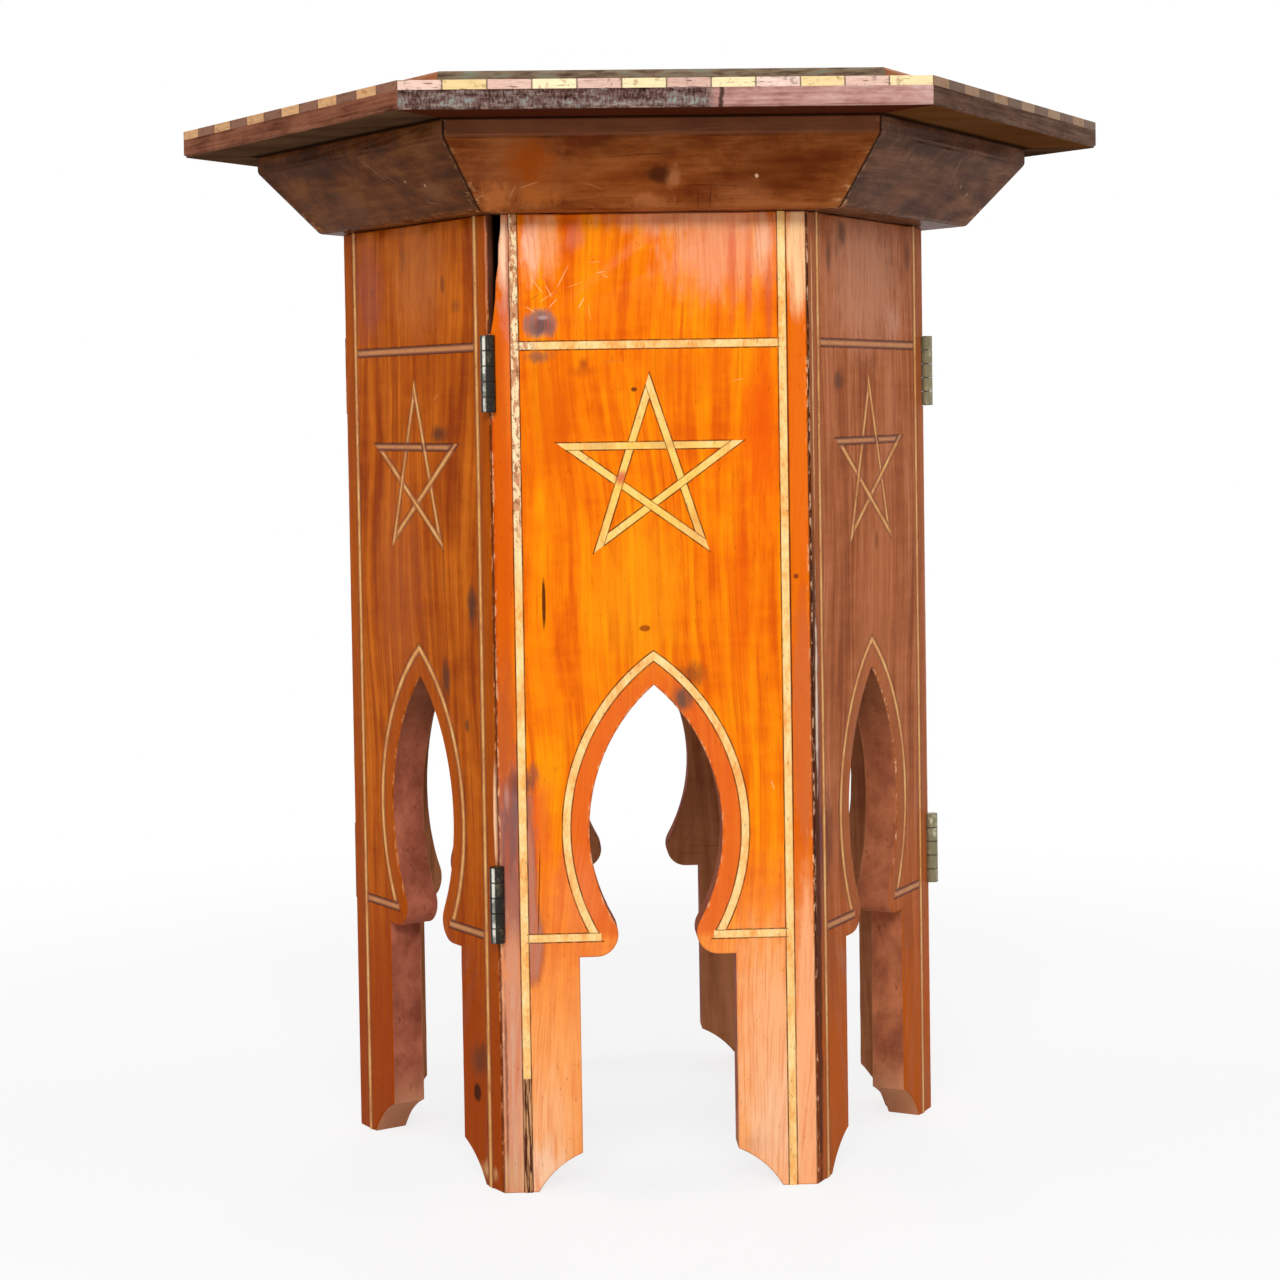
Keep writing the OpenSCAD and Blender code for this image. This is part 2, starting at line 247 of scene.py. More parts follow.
def lamp(name, place, wide, tall, watts):
    """A soft lamp that stands at place and points at the table."""
    light = bpy.data.lights.new(name, "AREA")
    light.shape = "RECTANGLE"
    light.size = wide
    light.size_y = tall
    light.energy = watts
    holder = bpy.data.objects.new(name, light)
    holder.location = place
    towards = Vector((0, 0, 0.3)) - Vector(place)
    holder.rotation_euler = towards.to_track_quat("-Z", "Y").to_euler()
    holder.visible_camera = False
    put(holder)


lamp("front_lamp", (-0.2, -2.2, 1.6), 1.7, 0.8, 40)
lamp("right_lamp", (2.4, 0.1, 1.3), 1.4, 1.4, 15)
lamp("left_lamp", (-2.4, 0.2, 1.3), 1.4, 1.4, 14)
lamp("rear_lamp", (0.3, 2.4, 1.6), 1.6, 1.6, 24)

# The six panels are softwood boards 19 mm thick, planed, stained orange and shellacked. Both edges are
# mitred, the arch and the feet are sawn out, and years of handling have rounded and chipped the arrises.

PANELS = ["front", "right_front", "right_rear", "rear", "left_rear", "left_front"]
PANEL_BODIES = {name: "base_" + name for name in PANELS}
TURN = math.pi / 3
BASE_LEFT = 6.0
FACE_OUT = 136.832
BOARD = 19.0
PANEL_HALF = 79.0
UPRIGHT_X = 66.3
TOP_STRING_Z = 422.2
LOW_STRING_Z = 127.7
STRING_HALF = 2.05
ARCH_CENTRE_X = 62.3
ARCH_CENTRE_Z = 180.8
ARCH_R = 95.5
ARCH_STRING_R = 106.9
STAR_Z = 358.9
STAR_LINE_AT = 13.29
STAR_HALF = 1.85
HINGE_Z = (145.4, 408.7)
HINGE_REACH = 21.0
CORNER_FROM = 150.0
PLANED = 0.0003
GROOVE_DEEP = 5
SHARP = 0.4
LONG_ARRIS = 20
WEAR_STEP = 7


def chipped(board, past, levels, deep):
    """The mesh of a board that has lost a sliver from past its edge inwards. Each level is a height
    and the place that the edge is broken back to there."""
    cutter = bmesh.new()
    rows = []
    for height, broken in levels:
        ring = [(past, -1), (broken, -1), (broken, deep), (past, deep)]
        places = [((x - BASE_LEFT) * MM, (y - FACE_OUT) * MM, height * MM) for x, y in ring]
        rows.append([cutter.verts.new(place) for place in places])
    for low, high in zip(rows, rows[1:]):
        for k in range(4):
            cutter.faces.new((low[k], low[k - 1], high[k - 1], high[k]))
    cutter.faces.new(rows[0])
    cutter.faces.new(rows[-1])
    bmesh.ops.recalc_face_normals(cutter, faces=cutter.faces)
    sliver_mesh = bpy.data.meshes.new("sliver")
    cutter.to_mesh(sliver_mesh)
    cutter.free()
    sliver = bpy.data.objects.new("sliver", sliver_mesh)
    blank = bpy.data.objects.new("blank", board.data.copy())
    for thing in (sliver, blank):
        put(thing)
    loss = blank.modifiers.new("loss", "BOOLEAN")
    loss.operation = "DIFFERENCE"
    loss.solver = "EXACT"
    loss.object = sliver
    bpy.context.view_layer.update()
    seen_as = blank.evaluated_get(bpy.context.evaluated_depsgraph_get())
    mesh = bpy.data.meshes.new_from_object(seen_as)
    for thing in (sliver, blank):
        bpy.data.objects.remove(thing)
    return mesh


def eased_copy(board_mesh, name, is_arris, rounding, wear, finish):
    """A copy of a board with its finish, and with its arrises rounded over and unevenly worn."""
    shape = bmesh.new()
    shape.from_mesh(board_mesh)
    bmesh.ops.remove_doubles(shape, verts=shape.verts, dist=1e-6)
    bmesh.ops.dissolve_limit(shape, angle_limit=math.radians(0.5), verts=shape.verts, edges=shape.edges)
    for edge in [e for e in shape.edges if is_arris(e) and e.calc_length() > LONG_ARRIS * MM]:
        bmesh.ops.subdivide_edges(shape, edges=[edge], cuts=int(edge.calc_length() / (WEAR_STEP * MM)))
    arrises = [e for e in shape.edges if is_arris(e)]
    rounded = bmesh.ops.bevel(
        shape, geom=arrises, offset=rounding, offset_type="OFFSET", segments=3, profile=0.5, affect="EDGES"
    )
    ring = set(rounded["faces"])
    shape.normal_update()
    for vert in shape.verts:
        if vert.link_faces and all(face in ring for face in vert.link_faces):
            bite = 0.5 + 0.9 * noise.noise(vert.co * 90) + 0.5 * noise.noise(vert.co * 260)
            vert.co -= vert.normal * wear * max(0.0, bite)
    mesh = bpy.data.meshes.new(name)
    shape.to_mesh(mesh)
    shape.free()
    for layer in ("custom_normal", "sharp_edge"):
        if layer in mesh.attributes:
            mesh.attributes.remove(mesh.attributes[layer])
    mesh.polygons.foreach_set("use_smooth", [True] * len(mesh.polygons))
    mesh.set_sharp_from_angle(angle=math.radians(24))
    mesh.materials.append(finish)
    copy = bpy.data.objects.new(name, mesh)
    put(copy)
    return copy


def board_readings(finish, side, seed, left=BASE_LEFT):
    """How far across, up and into one board a point is, and its place in a grain of the board's own."""
    spot = finish.node("ShaderNodeTexCoord", {}, (), "Object")
    spot = finish.vector("ADD", spot, (left * MM, 0, 0))
    along = (math.cos(side * TURN) / MM, math.sin(side * TURN) / MM, 0)
    inward = (-math.sin(side * TURN) / MM, math.cos(side * TURN) / MM, 0)
    across = finish.vector("DOT_PRODUCT", spot, along)
    upward = finish.vector("DOT_PRODUCT", spot, (0, 0, 1 / MM))
    depth = finish.vector("DOT_PRODUCT", spot, inward) + FACE_OUT
    moved = finish.vector("ADD", finish.place(across, upward, depth), (seed * 310, seed * 170, seed * 90))
    finish.flat = finish.place(across, upward, 0)
    return across, upward, depth, moved


def arch_distance(finish, across, upward):
    """How far a point is from the centre of the arch's arc on the other side, in millimetres."""
    reach = finish.place(across.away_from(0) + ARCH_CENTRE_X, upward - ARCH_CENTRE_Z, 0)
    return finish.vector("LENGTH", reach)


def strip_edge(finish, across, upward, arch):
    """How far a point is from the nearest edge of an inlaid strip, in millimetres."""
    half = STRING_HALF
    upright = across.away_from(0).away_from(UPRIGHT_X).away_from(half)
    inside = across.away_from(0).fade(UPRIGHT_X, UPRIGHT_X - 1)
    top = upward.away_from(TOP_STRING_Z).away_from(half) + (1 - inside) * 9
    low_end = arch.fade(ARCH_STRING_R - 3, ARCH_STRING_R - 2)
    low = upward.away_from(LOW_STRING_Z).away_from(half) + (1 - inside * low_end) * 9
    above_low = upward.fade(LOW_STRING_Z, LOW_STRING_Z + 2)
    curved = arch.away_from(ARCH_STRING_R).away_from(half) + (1 - above_low) * 9
    nearest = upright.least(top).least(low).least(curved)
    from_star = finish.place(across, upward - STAR_Z, 0)
    strips = []
    for point in range(5):
        angle = math.radians(90 + 72 * point)
        facing = (math.cos(angle), math.sin(angle), 0)
        strips.append(finish.vector("DOT_PRODUCT", from_star, facing))
    outer = STAR_LINE_AT + STAR_HALF
    for point, strip in enumerate(strips):
        past_tip = strips[point - 2].most(strips[point - 3]).fade(outer + 0.1, outer + 0.5)
        over = strips[point - 1].away_from(STAR_LINE_AT).least(strips[point - 2].away_from(STAR_LINE_AT))
        hidden = over.fade(STAR_HALF - 0.1, STAR_HALF - 0.4)
        edge = strip.away_from(STAR_LINE_AT).away_from(STAR_HALF)
        nearest = nearest.least(edge + (past_tip + hidden) * 9)
    return nearest


def stains_and_sheen(finish, wood, place, marks):
    """Lays knots, stains, worn patches, painted highlights and painted reflections on the wood, each with
    its shade, its middle, half its width and height, its strength and how ragged it is."""
    ragged = finish.cloud(place, (4, 15, 5), 4.0, 0.65)
    for shade, across, upward, half_wide, half_tall, strength, rough in marks:
        offset = finish.vector("SUBTRACT", finish.flat, (across, upward, 0))
        shape = finish.vector("DIVIDE", offset, (half_wide, half_tall, 1))
        reach = finish.vector("LENGTH", shape) + (ragged - 0.5) * rough * 1.6
        soft = 0.7 if rough > 0.7 else 0.35
        wood = finish.mix(reach.fade(1 + soft * 0.5, 1 - soft) * strength, wood, shade)
    return wood


def scratched(finish, wood, scratches):
    """Draws fine straight scratches, each with its shade, its middle, half its length and width, its
    slope and its strength."""
    for shade, across, upward, half_long, half_wide, slope, strength in scratches:
        turn = math.radians(slope)
        offset = finish.vector("SUBTRACT", finish.flat, (across, upward, 0))
        along = finish.vector("DOT_PRODUCT", offset, (math.cos(turn), math.sin(turn), 0))
        beside = finish.vector("DOT_PRODUCT", offset, (-math.sin(turn), math.cos(turn), 0))
        reach = (along.away_from(0) / half_long).most(beside.away_from(0) / half_wide)
        wood = finish.mix(reach.fade(1.0, 0.4) * strength, wood, shade)
    return wood


LEGS_PALE = (185, 60)
FEET_PALE = (40, 12)
ARCH_DARK = (196, 244)
CLEFT_SHADOW_Z = (424, 430)


def panel_finish(name, side, tones, marks, scratches, joint, seed):
    """Shellacked wood of one panel: its face, its sawn edges and its plain back. By the broken
    corner, joint says which mitre of the panel is open; its inside is painted near black as shadow."""
    finish = Finish(name)
    across, upward, depth, moved = board_readings(finish, side, seed)
    arch = arch_distance(finish, across, upward)
    drift = finish.cloud(moved, (70, 240, 70), 1.0)
    grain_place = finish.vector("ADD", moved, finish.place((drift - 0.5) * 38, 0, 0))
    streak = finish.cloud(grain_place, (7, 130, 7), 5.0, 0.62)
    mottle = finish.cloud(moved, (30, 52, 30), 3.0, 0.55)
    curl = finish.cloud(moved, (22, 6, 22), 2.0, 0.5)
    fibre = finish.cloud(grain_place, (0.8, 34, 0.8), 3.0, 0.6)
    figure = streak * 0.56 + mottle * 0.34 + curl * 0.10
    wood = finish.ramp(figure, (0.40, tones["deep"]), (0.50, tones["body"]), (0.59, tones["glow"]))
    late = finish.cloud(grain_place, (3.0, 300, 3.0), 3.0, 0.55).fade(0.50, 0.64)
    wood = finish.mix(late * mottle.fade(0.40, 0.60) * 0.55, wood, tones["red"])
    margin = across.away_from(0).fade(UPRIGHT_X - 1, UPRIGHT_X + 1)
    wood = finish.mix(margin * 0.65, wood, tones["margin"])
    low = upward.fade(*LEGS_PALE)
    wood = finish.mix((low * (0.85 + (mottle - 0.5) * 1.2)).most(0).least(1), wood, tones["low"])
    band = arch.fade(ARCH_STRING_R + 1, ARCH_STRING_R - 3) * upward.fade(LOW_STRING_Z - 3, LOW_STRING_Z + 3)
    wood = finish.mix(band * 0.75, wood, tones["band"])
    wood = stains_and_sheen(finish, wood, moved, marks)
    wood = finish.mix(fibre.fade(0.54, 0.34) * 0.36, wood, tones["deep"])
    pores = finish.cloud(grain_place, (0.5, 5.5, 0.5), 2.0, 0.5).fade(0.69, 0.75)
    wood = finish.mix(pores * 0.5, wood, tones["line"])
    wood = scratched(finish, wood, scratches)
    above_lobes = upward.fade(LOW_STRING_Z + 2.3, LOW_STRING_Z + 12.3)
    arch_edge = arch.fade(ARCH_R + 1.5, ARCH_R + 0.1) * above_lobes
    edge = across.away_from(0).fade(PANEL_HALF - 2.4, PANEL_HALF - 0.2).most(arch_edge)
    chips = finish.cloud(moved, (2.2, 9, 2.2), 3.0, 0.7)
    # Dark chips along the worn edges, and painted shade over the outermost millimetre where the mitre gap
    # between panels falls in shadow.
    gap_shade = across.away_from(0).fade(PANEL_HALF - 1.4, PANEL_HALF - 0.4)
    wood = finish.mix((edge * chips.fade(0.42, 0.30)).most(gap_shade) * 0.8, wood, tones["line"])
    wood = finish.mix(edge * chips.fade(0.52, 0.60) * 0.8, wood, tones["worn"])
    lines = strip_edge(finish, across, upward, arch).fade(0.6, 0.2)
    gaps = finish.cloud(moved, (3, 16, 3), 2.0, 0.6).fade(0.38, 0.60)
    wood = finish.mix(lines * (0.45 + gaps * 0.55), wood, tones["line"])
    saw = finish.cloud(moved, (20, 22, 16), 6.0, 0.66)
    sawn = finish.ramp(saw, (0.34, tones["sawn_dark"]), (0.66, tones["sawn"]))
    sawn = finish.mix(upward.fade(*ARCH_DARK) * 0.6, sawn, (98, 64, 40))
    sawn = finish.mix(finish.cloud(moved, (1.6, 6, 3), 3.0, 0.6).fade(0.60, 0.70) * 0.5, sawn, (96, 54, 38))
    sawn = finish.mix(upward.fade(*FEET_PALE) * 0.6, sawn, (206, 150, 112))
    back = finish.ramp(figure, (0.40, (158, 100, 66)), (0.60, (204, 138, 96)))
    inner = finish.mix(depth.fade(BOARD - 1.4, BOARD - 0.4), sawn, back)
    if joint:
        # Painted shadow: the inside of the open mitre by the broken corner is drawn near black.
        mitre = (across * joint + depth * math.tan(TURN / 2)).fade(PANEL_HALF - 1.4, PANEL_HALF - 0.4)
        cleft_shadow = mitre * upward.fade(*CLEFT_SHADOW_Z) * (0.35 + depth.fade(3.0, 6.5) * 0.65)
        inner = finish.mix(cleft_shadow, inner, (16, 9, 6))
    skin = finish.mix(depth.fade(0.35, 0.95), wood, inner)
    fine = finish.cloud(moved, (26, 1.1, 3), 2.0, 0.4).fade(0.64, 0.70)
    on_face = depth.fade(0.95, 0.35)
    roughness = 0.60 - on_face * (0.30 - (mottle - 0.5) * 0.34) + lines * 0.2
    height = fibre * 0.08 + streak * 0.30 + mottle * 0.5 - lines * 0.22 - fine * 0.05 - pores * 0.12
    height = height + (1 - on_face) * saw * 0.22
    polish = on_face * tones["polish"]
    return finish.surface(skin, roughness, height, sheen=tones["sheen"], coat=polish, coat_rough=0.24)


FRONT_TONES = {
    "deep": (222, 92, 2), "body": (250, 126, 2), "glow": (255, 148, 6), "margin": (222, 98, 10),
    "red": (206, 66, 6), "low": (253, 166, 96), "band": (226, 100, 42), "worn": (250, 190, 140),
    "line": (66, 22, 5), "sawn_dark": (144, 78, 54), "sawn": (190, 110, 80), "sheen": 0.04, "polish": 0.06,
}
LEFT_TONES = {
    "deep": (142, 58, 4), "body": (176, 84, 14), "glow": (200, 104, 26), "margin": (162, 76, 16),
    "red": (130, 52, 14), "low": (156, 64, 0), "band": (168, 78, 18), "worn": (214, 132, 80),
    "line": (60, 26, 12), "sawn_dark": (136, 74, 56), "sawn": (184, 108, 84), "sheen": 0.01, "polish": 0.02,
}
RIGHT_TONES = {
    "deep": (138, 72, 38), "body": (170, 96, 56), "glow": (190, 116, 78), "margin": (160, 88, 50),
    "red": (136, 66, 36), "low": (182, 84, 4), "band": (164, 90, 50), "worn": (236, 180, 140),
    "line": (76, 38, 20), "sawn_dark": (142, 80, 58), "sawn": (192, 116, 80), "sheen": 0.01, "polish": 0.02,
}
# Marks on the front. The pale peach patches along the top of the face and at the top of its right margin
# are painted reflection of the polish; the rest are knots, stains, streaks and worn places.
FRONT_MARKS = [
    ((242, 156, 110), 36, 468, 29, 24, 0.85, 1.0),
    ((246, 168, 122), 24, 484, 44, 8, 0.8, 1.0),
    ((216, 82, 46), 42, 462, 2.4, 26, 0.6, 0.9),
    ((222, 94, 56), 50, 452, 2.0, 26, 0.55, 0.9),
    ((208, 86, 60), 60, 446, 1.8, 30, 0.5, 0.9),
    ((250, 190, 150), 57, 474, 5, 16, 0.7, 1.0),
    ((252, 186, 150), -57, 472, 5.5, 17, 0.85, 1.2),
    ((214, 112, 84), -36, 475, 5, 7, 0.65, 1.2),
    ((250, 168, 112), -49, 474, 6, 18, 0.8, 1.0),
    ((222, 96, 4), -50, 388, 16, 42, 0.55, 1.0),
    ((238, 88, 10), 55, 372, 9, 52, 0.7, 1.0),
    ((230, 84, 8), 44, 300, 9, 42, 0.5, 1.0),
    ((255, 158, 20), -6, 300, 24, 40, 0.55, 1.0),
    ((226, 96, 6), 14, 408, 26, 18, 0.45, 1.0),
    ((228, 98, 44), -58, 186, 7, 24, 0.6, 1.1),
    ((150, 108, 98), -53.6, 433, 8.8, 7.4, 0.97, 0.6),
    ((98, 68, 70), -53, 431.5, 5.4, 4.4, 0.7, 1.3),
    ((196, 164, 160), -52, 436, 2.6, 1.0, 0.6, 1.0),
    ((146, 92, 64), -55, 417, 7, 3.2, 0.8, 1.2),
    ((250, 206, 168), -70.4, 464, 3.6, 30, 0.95, 1.3),
    ((206, 96, 72), -70.4, 442, 3.4, 16, 0.7, 1.6),
    ((150, 70, 44), -69.2, 462, 0.8, 26, 0.6, 1.7),
    ((78, 40, 20), -7.6, 400, 1.6, 1.2, 0.9, 0.3),
    ((150, 62, 24), -32.4, 412.5, 2.4, 3.4, 0.7, 0.9),
    ((196, 84, 16), -34, 409, 8, 3, 0.5, 1.0),
    ((78, 32, 12), -54, 295, 1.0, 13, 0.95, 0.4),
    ((120, 44, 14), -4.1, 281.5, 3.0, 1.6, 0.8, 0.6),
    ((140, 72, 36), 19, 258, 7.5, 6.5, 0.8, 1.1),
    ((112, 80, 64), 14.5, 246.5, 6, 6.5, 0.97, 0.8),
    ((164, 106, 92), -70.4, 168, 10.6, 50, 0.97, 0.7),
    ((130, 94, 92), -71, 192, 8, 26, 0.85, 0.8),
    ((214, 178, 168), -74, 200, 1.2, 8, 0.7, 1.6),
    ((150, 50, 14), -78, 330, 1.5, 108, 0.75, 0.6),
    ((104, 68, 64), -67, 206, 8, 7, 0.85, 1.3),
    ((132, 84, 76), -73, 176, 5, 22, 0.6, 1.3),
    ((150, 84, 60), -60.5, 211, 3.5, 5, 0.7, 1.4),
    ((216, 148, 116), -72.6, 62, 8.2, 78, 0.95, 0.6),
    ((156, 76, 44), -64.4, 150, 5.2, 43, 0.8, 0.3),
    ((156, 76, 44), -62.4, 125, 6.4, 21, 0.8, 0.3),
    ((190, 124, 100), -64.4, 150, 4.4, 41, 0.95, 0.3),
    ((190, 124, 100), -62.6, 125, 5.6, 19.4, 0.95, 0.3),
    ((218, 172, 144), -73, 40, 1.2, 60, 0.6, 1.6),
    ((96, 52, 36), -76.5, 50, 0.8, 60, 0.7, 1.6),
    ((216, 170, 130), -71, 10, 9, 12, 0.7, 1.2),
    ((240, 128, 76), -40, 150, 12, 22, 0.5, 1.0),
    ((190, 118, 88), 49.3, 22, 8, 7, 0.7, 1.2),
    ((254, 186, 134), 55, 70, 22, 60, 0.75, 0.8),
    ((254, 192, 140), -56, 30, 14, 34, 0.6, 0.8),
    ((253, 206, 168), -58, 12, 10, 14, 0.8, 1.0),
    ((254, 196, 152), 62, 28, 20, 36, 0.8, 0.9),
    ((253, 204, 150), 74.5, 468, 6, 34, 0.95, 0.5),
    ((232, 108, 26), 74.5, 372, 6, 66, 0.8, 0.5),
    ((206, 104, 54), 74.5, 232, 6, 66, 0.8, 0.5),
    ((253, 176, 124), 74.5, 70, 6, 90, 0.9, 0.5),
    ((210, 88, 4), -74.5, 330, 6, 90, 0.8, 0.5),
    ((184, 88, 42), -74.5, 232, 6, 38, 0.85, 0.8),
    ((90, 40, 18), 68.7, 330, 0.45, 160, 0.8, 0.5),
    ((120, 52, 24), 71.6, 306, 1.4, 1.4, 0.9, 0.3),
]
FRONT_SCRATCHES = [
    ((92, 42, 18), -58.8, 150, 30, 0.4, 88, 0.8),
    ((255, 204, 150), -49, 449, 4.2, 0.22, 118, 0.8),
    ((255, 204, 150), -47, 443, 3.6, 0.20, 48, 0.8),
    ((226, 90, 70), -51, 455, 3.0, 0.30, 140, 0.8),
    ((226, 90, 70), -46, 448, 2.4, 0.30, 40, 0.7),
    ((255, 212, 160), -33, 443, 3.6, 0.24, 58, 0.8),
    ((255, 204, 150), -23, 458, 2.6, 0.22, 8, 0.8),
    ((255, 200, 140), -21, 456, 1.8, 0.20, -30, 0.7),
    ((255, 210, 160), -58, 440, 3.4, 0.20, 150, 0.7),
    ((128, 52, 22), -56, 446, 2.8, 0.20, 35, 0.6),
    ((255, 200, 140), -42, 456, 7, 0.22, 62, 0.8),
    ((255, 206, 150), -55, 452, 6, 0.20, 128, 0.7),
    ((255, 196, 134), -50, 446, 5, 0.18, 35, 0.7),
    ((255, 190, 120), -36, 452, 5, 0.18, 20, 0.6),
    ((255, 196, 130), -26, 463, 3.6, 0.16, 5, 0.6),
    ((255, 190, 120), -29, 438, 5, 0.18, 100, 0.5),
    ((255, 184, 110), 44, 404, 3.2, 0.20, 12, 0.7),
    ((214, 110, 60), -18, 414, 7, 0.20, 4, 0.7),
    ((255, 206, 160), 58.5, 202, 2.6, 0.22, 110, 0.8),
]
LEFT_MARKS = [
    ((84, 52, 38), 26, 379, 9, 4.5, 0.85, 1.2),
    ((78, 52, 40), 57.7, 293, 5, 11, 0.9, 0.9),
    ((84, 54, 40), 28.8, 254, 5, 10, 0.9, 0.9),
    ((104, 62, 34), 50, 232, 2.5, 3.5, 0.7, 0.6),
    ((116, 68, 46), 54, 62, 8, 10, 0.6, 1.2),
    ((30, 18, 14), 54, 46, 3.8, 5, 0.95, 0.4),
    ((96, 54, 36), -10, 470, 3.5, 5, 0.75, 1.0),
    ((104, 54, 32), -45, 454, 2, 2.4, 0.7, 0.6),
    ((110, 54, 26), 32.6, 455, 2.4, 5, 0.8, 0.6),
    ((124, 66, 36), 46, 443, 6, 4, 0.5, 1.4),
    ((196, 112, 56), 6, 462, 28, 34, 0.7, 1.0),
    ((158, 84, 66), -50, 456, 18, 30, 0.6, 1.1),
    ((176, 92, 52), -20, 300, 30, 60, 0.4, 1.0),
    ((254, 200, 156), 77.6, 190, 2.2, 26, 0.97, 0.35),
    ((222, 140, 104), 77.8, 460, 1.2, 34, 0.8, 1.5),
    ((92, 52, 34), 60, 64, 10, 9, 0.6, 1.3),
    ((236, 190, 130), 64, 8, 8, 5, 0.6, 1.6),
]
# Marks on the right front board. The broad pale patches at its top are painted highlight, and the dark
# bands down its left edge, by the front panel, are painted shadow of the joint; the pale flecks there are
# glue.
RIGHT_MARKS = [
    ((96, 58, 42), -11, 482, 4, 5, 0.75, 1.0),
    ((100, 62, 44), -41, 471, 3, 6, 0.6, 1.0),
    ((104, 60, 40), 4.4, 473, 1.4, 6, 0.7, 0.6),
    ((104, 56, 38), 27, 462, 1.3, 7, 0.7, 0.4),
    ((90, 62, 52), -41, 403, 5.5, 5, 0.8, 1.0),
    ((122, 70, 46), -8, 370, 4, 11, 0.65, 1.0),
    ((96, 54, 38), 8, 319, 2.4, 5, 0.85, 0.6),
    ((104, 58, 44), -66, 174, 11, 24, 0.75, 1.2),
    ((200, 136, 104), -4, 456, 52, 40, 0.8, 1.0),
    ((206, 150, 124), 34, 434, 12, 10, 0.5, 1.2),
    ((92, 58, 44), -52, 466, 3, 9, 0.7, 1.3),
    ((88, 56, 44), -34, 478, 5, 7, 0.75, 1.3),
    ((84, 52, 40), 56, 472, 6, 9, 0.6, 1.4),
    ((190, 112, 70), 10, 280, 30, 60, 0.5, 1.0),
    ((150, 84, 44), -76, 380, 3.0, 110, 0.6, 0.3),
    ((56, 26, 16), -75.4, 150, 4.2, 190, 0.85, 0.5),
    ((44, 20, 12), -78.4, 300, 1.4, 220, 0.95, 0.3),
    ((226, 184, 136), -73.6, 400, 0.9, 90, 0.75, 1.6),
    ((240, 214, 190), -73.8, 244, 1.7, 44, 0.9, 1.7),
    ((112, 70, 84), -71.5, 200, 1.6, 80, 0.5, 1.6),
    ((228, 178, 150), 78.4, 230, 1.5, 160, 0.9, 0.9),
]
REAR_MARKS = [
    ((96, 62, 44), -20, 452, 5, 4.5, 0.7, 1.0),
    ((92, 58, 40), 44, 216, 4, 9, 0.8, 0.8),
    ((112, 70, 48), -52, 88, 6, 12, 0.55, 1.2),
]
SIDE_SCRATCHES = [
    ((222, 150, 100), -14, 440, 6, 0.2, 80, 0.5),
    ((222, 150, 100), 24, 398, 5, 0.2, 30, 0.5),
    ((206, 130, 84), 40, 300, 7, 0.2, 104, 0.4),
]
PANEL_LOOKS = {
    "front": (FRONT_TONES, FRONT_MARKS, FRONT_SCRATCHES, -1),
    "right_front": (RIGHT_TONES, RIGHT_MARKS, SIDE_SCRATCHES, 0),
    "right_rear": (RIGHT_TONES, REAR_MARKS, SIDE_SCRATCHES, 0),
    "rear": (LEFT_TONES, REAR_MARKS, SIDE_SCRATCHES, 0),
    "left_rear": (LEFT_TONES, REAR_MARKS, SIDE_SCRATCHES, 0),
    "left_front": (LEFT_TONES, LEFT_MARKS, SIDE_SCRATCHES, 1),
}

BROKEN_ARRIS = [
    (428.4, -77.9), (435, -76.6), (446, -75.4), (455, -74.9),
    (463, -73.6), (472, -73.4), (480, -72.3), (488, -72.1),
]
BROKEN_DEEP = 12


def panel_arris(side):
    """Picks the outer edges of one panel's face and back, and leaves grooves and hinge recesses sharp."""
    inward = Vector((-math.sin(side * TURN), math.cos(side * TURN), 0))
    middle_of_base = Vector((-BASE_LEFT * MM, 0, 0))

    def depth(vert):
        return (vert.co - middle_of_base).dot(inward) + FACE_OUT * MM

    def is_arris(edge):
        ends = [depth(vert) for vert in edge.verts]
        on_face = max(ends) < PLANED * MM
        on_back = min(ends) > (BOARD - PLANED) * MM
        if not (on_face or on_back) or len(edge.link_faces) != 2 or edge.calc_face_angle() < SHARP:
            return False
        middle = (edge.verts[0].co.z + edge.verts[1].co.z) / 2
        from_axis = (edge.verts[0].co - middle_of_base).xy.length
        by_hinge = any(abs(middle - hinge * MM) < HINGE_REACH * MM for hinge in HINGE_Z)
        if by_hinge and from_axis > CORNER_FROM * MM:
            return False
        depths = [[depth(vert) for vert in face.verts] for face in edge.link_faces]
        return any(max(ends) - min(ends) > GROOVE_DEEP * MM for ends in depths)

    return is_arris


for side, name in enumerate(PANELS):
    board_mesh = nodes["panel_" + name].data
    if name == "front":
        board_mesh = chipped(nodes["panel_front"], -90, BROKEN_ARRIS, BROKEN_DEEP)
    shellac = panel_finish("shellacked_" + name, side, *PANEL_LOOKS[name], side + 1)
    panel = eased_copy(board_mesh, "worn_panel_" + name, panel_arris(side), 0.8 * MM, 0.3 * MM, shellac)
    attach(panel, PANEL_BODIES[name])
    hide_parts("panel_" + name)

# The stringing and the stars are thin strips of a pale wood, glued into grooves and planed flush. The
# polish has yellowed them, and dirt has gone into their pores and broken places.


def dress(node, material):
    """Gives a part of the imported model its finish."""
    for slot in node.material_slots:
        slot.link = "OBJECT"
        slot.material = material


STAR_STAINS = [
    ((255, 206, 88), 0, 354, 48, 46, 0.6, 1.0),
    ((212, 92, 70), -14.6, 356.5, 3.2, 3.6, 0.85, 0.9),
    ((188, 128, 92), -26, 372.5, 9, 2.4, 0.35, 1.4),
    ((176, 110, 70), 8, 372.5, 12, 2.4, 0.3, 1.4),
    ((206, 130, 74), 22, 332, 8, 12, 0.3, 1.3),
]


